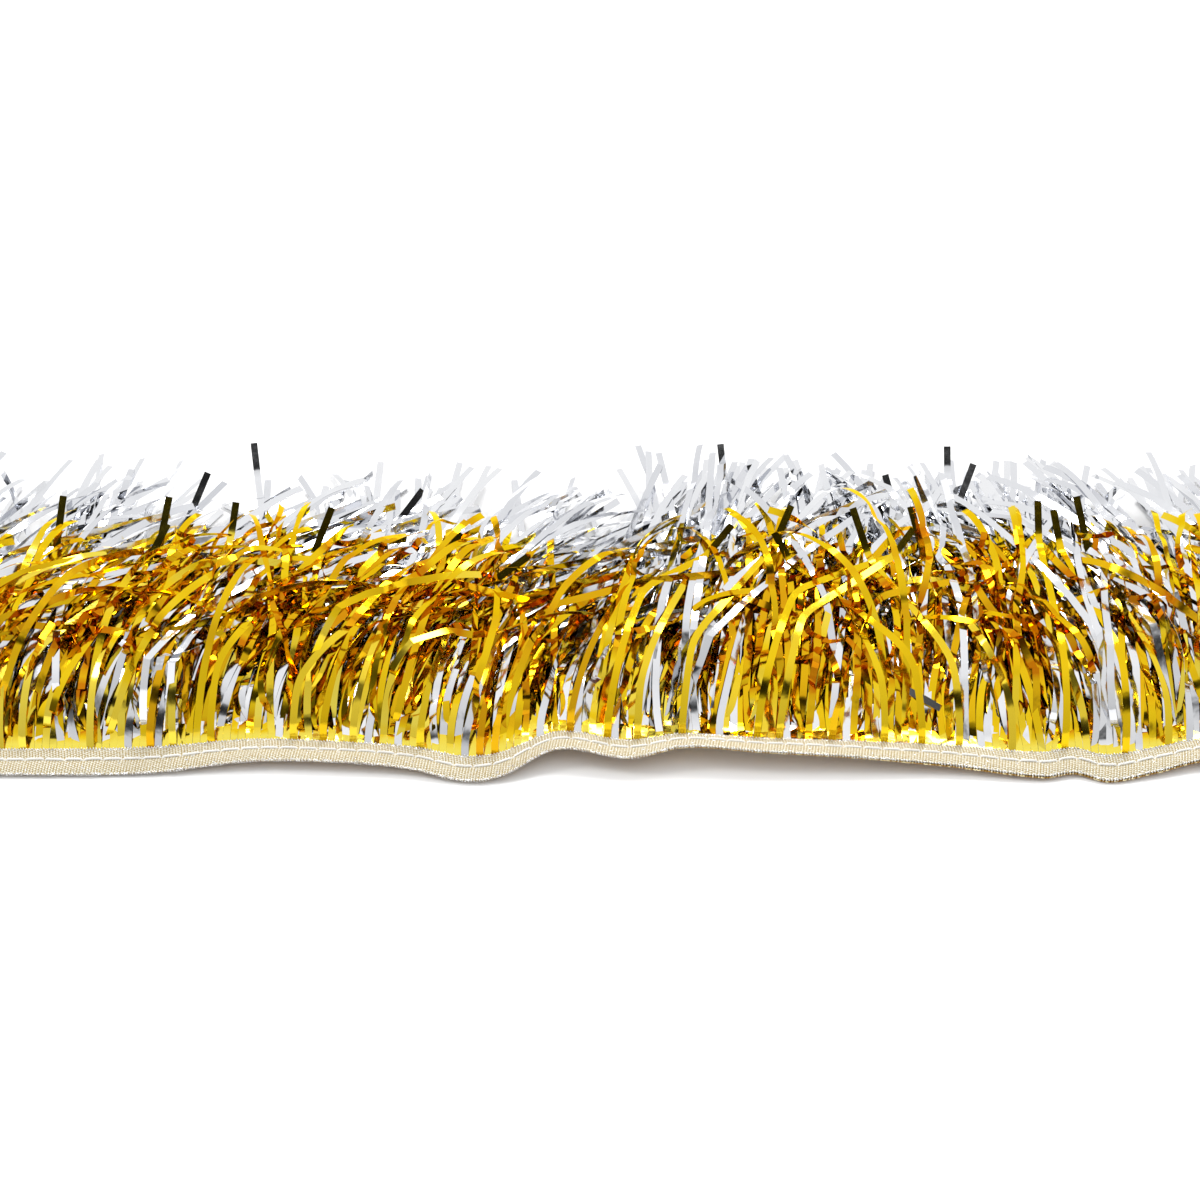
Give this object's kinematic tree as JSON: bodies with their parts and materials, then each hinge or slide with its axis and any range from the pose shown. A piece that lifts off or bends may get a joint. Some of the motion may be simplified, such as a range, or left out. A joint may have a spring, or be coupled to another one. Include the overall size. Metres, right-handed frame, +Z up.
{
  "type": "foil fringe hat band",
  "caption": "Two-colour metallic foil fringe on a narrow sewn ribbon, laid out open, as trims a New Year party hat.",
  "frame": {"origin": "middle of the bounding box on the table that the band lies on", "axes": "+X along the band, +Y from the free ribbon edge towards the fringe tips, +Z up from the table"},
  "size_m": [0.348, 0.0976, 0.0276],
  "materials": {
    "champagne_ribbon": "woven silver and tan lurex with fine cross ribs",
    "gold_ribbon": "woven gold lurex",
    "white_thread": "twisted sewing thread",
    "gold_foil": "gold metallised film, mirror gloss, creased",
    "silver_foil": "silver metallised film, mirror gloss, creased"
  },
  "bodies": {
    "root": {"front_ribbon": "champagne_ribbon", "back_ribbon": "gold_ribbon", "needle_thread": "white_thread", "bobbin_thread": "white_thread", "gold_foil_top": "gold_foil", "gold_foil_middle": "gold_foil", "gold_foil_bottom": "gold_foil", "silver_foil_top": "silver_foil", "silver_foil_middle": "silver_foil", "silver_foil_bottom": "silver_foil"}
  },
  "joints": []
}
